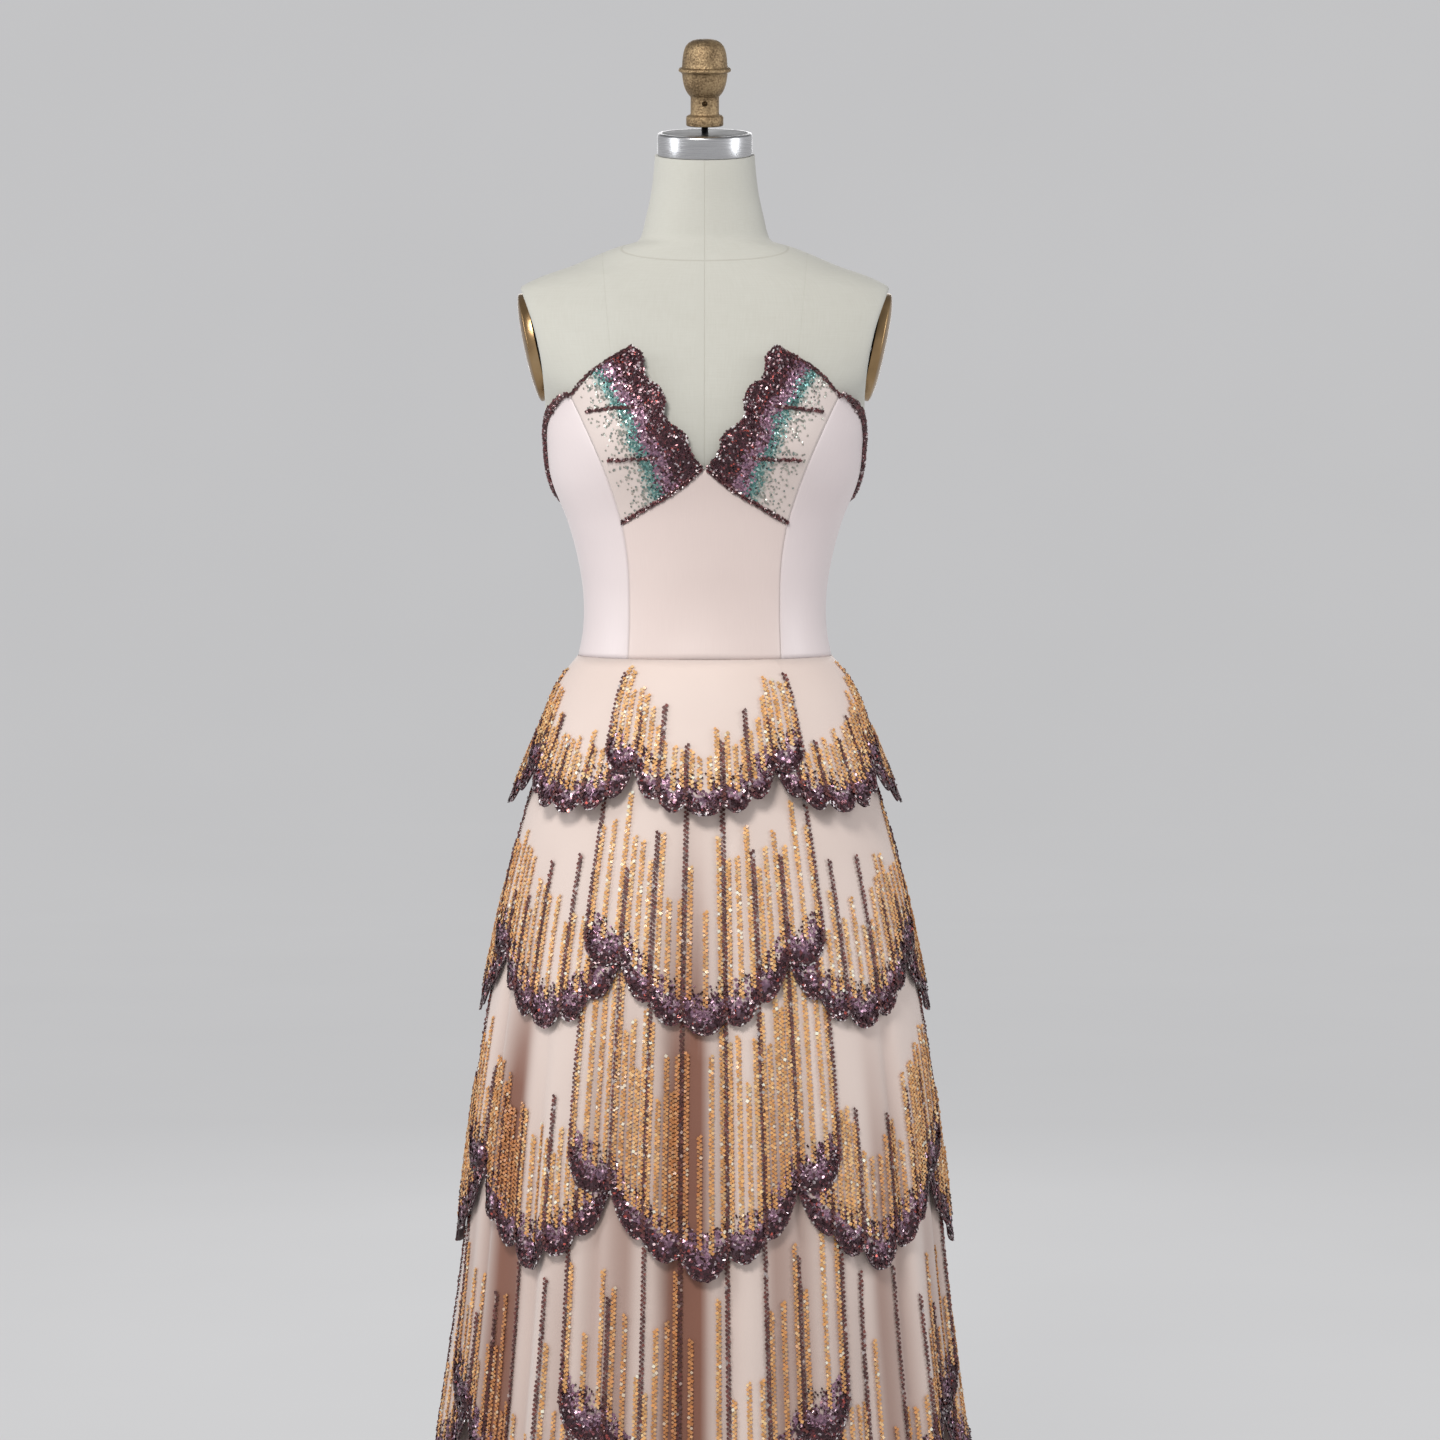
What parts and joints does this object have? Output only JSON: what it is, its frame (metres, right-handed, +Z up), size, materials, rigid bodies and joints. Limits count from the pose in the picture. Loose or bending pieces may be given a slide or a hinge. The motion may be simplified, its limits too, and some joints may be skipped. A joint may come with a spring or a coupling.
{
  "type": "tiered sequin evening gown on a dress form",
  "caption": "Strapless fitted evening gown with beaded wing cups and a flared skirt of overlapping scalloped beaded petals, standing on a limbless dress form with a round base.",
  "frame": {"origin": "centre of the stand's round base, on its underside", "axes": "+Z up along the pole to the neck, the gown's front towards -Y, +X to the viewer's right"},
  "size_m": [0.5673, 0.527, 1.6829],
  "materials": {
    "linen": "plain woven linen, matt",
    "brushed_steel": "brushed",
    "cast_brass": "rough cast, dull",
    "arm_plate_metal": "smooth, dark",
    "stand_iron": "black enamel",
    "blush_satin": "duchess satin, soft sheen",
    "beaded_cup": "beads and sequins on tulle",
    "blush_lining": "soft tulle over satin",
    "beaded_tulle": "beads and sequins on tulle",
    "zip_coil": "matt coil",
    "zip_metal": "polished"
  },
  "bodies": {
    "gown_on_form": {"form_body": "linen", "form_neck_cap": "brushed_steel", "form_neck_stud": "cast_brass", "form_finial": "cast_brass", "form_arm_plate_left": "arm_plate_metal", "form_arm_plate_right": "arm_plate_metal", "stand_base": "stand_iron", "stand_pole": "stand_iron", "front_centre": "blush_satin", "cup_left": "beaded_cup", "cup_right": "beaded_cup", "front_side_left": "blush_satin", "front_side_right": "blush_satin", "back_side_left": "blush_satin", "back_side_right": "blush_satin", "back_left": "blush_satin", "back_right": "blush_satin", "zip_tape": "zip_coil", "zip_slider": "zip_metal", "underskirt": "blush_lining", "tier_1_petal_0": "beaded_tulle", "tier_1_petal_1": "beaded_tulle", "tier_1_petal_2": "beaded_tulle", "tier_1_petal_3": "beaded_tulle", "tier_1_petal_4": "beaded_tulle", "tier_1_petal_5": "beaded_tulle", "tier_1_petal_6": "beaded_tulle", "tier_1_petal_7": "beaded_tulle", "tier_2_petal_0": "beaded_tulle", "tier_2_petal_1": "beaded_tulle", "tier_2_petal_2": "beaded_tulle", "tier_2_petal_3": "beaded_tulle", "tier_2_petal_4": "beaded_tulle", "tier_2_petal_5": "beaded_tulle", "tier_2_petal_6": "beaded_tulle", "tier_2_petal_7": "beaded_tulle", "tier_3_petal_0": "beaded_tulle", "tier_3_petal_1": "beaded_tulle", "tier_3_petal_2": "beaded_tulle", "tier_3_petal_3": "beaded_tulle", "tier_3_petal_4": "beaded_tulle", "tier_3_petal_5": "beaded_tulle", "tier_3_petal_6": "beaded_tulle", "tier_3_petal_7": "beaded_tulle", "tier_4_petal_0": "beaded_tulle", "tier_4_petal_1": "beaded_tulle", "tier_4_petal_2": "beaded_tulle", "tier_4_petal_3": "beaded_tulle", "tier_4_petal_4": "beaded_tulle", "tier_4_petal_5": "beaded_tulle", "tier_4_petal_6": "beaded_tulle", "tier_4_petal_7": "beaded_tulle"},
    "zip_pull": {"zip_pull": "zip_metal"}
  },
  "joints": [
    {"name": "zip_pull_hinge", "type": "hinge", "parent": "gown_on_form", "child": "zip_pull", "pos_m": [0, 0.10268, 1.20172], "axis": [1, 0, 0], "range_deg": [-8, 150]}
  ]
}
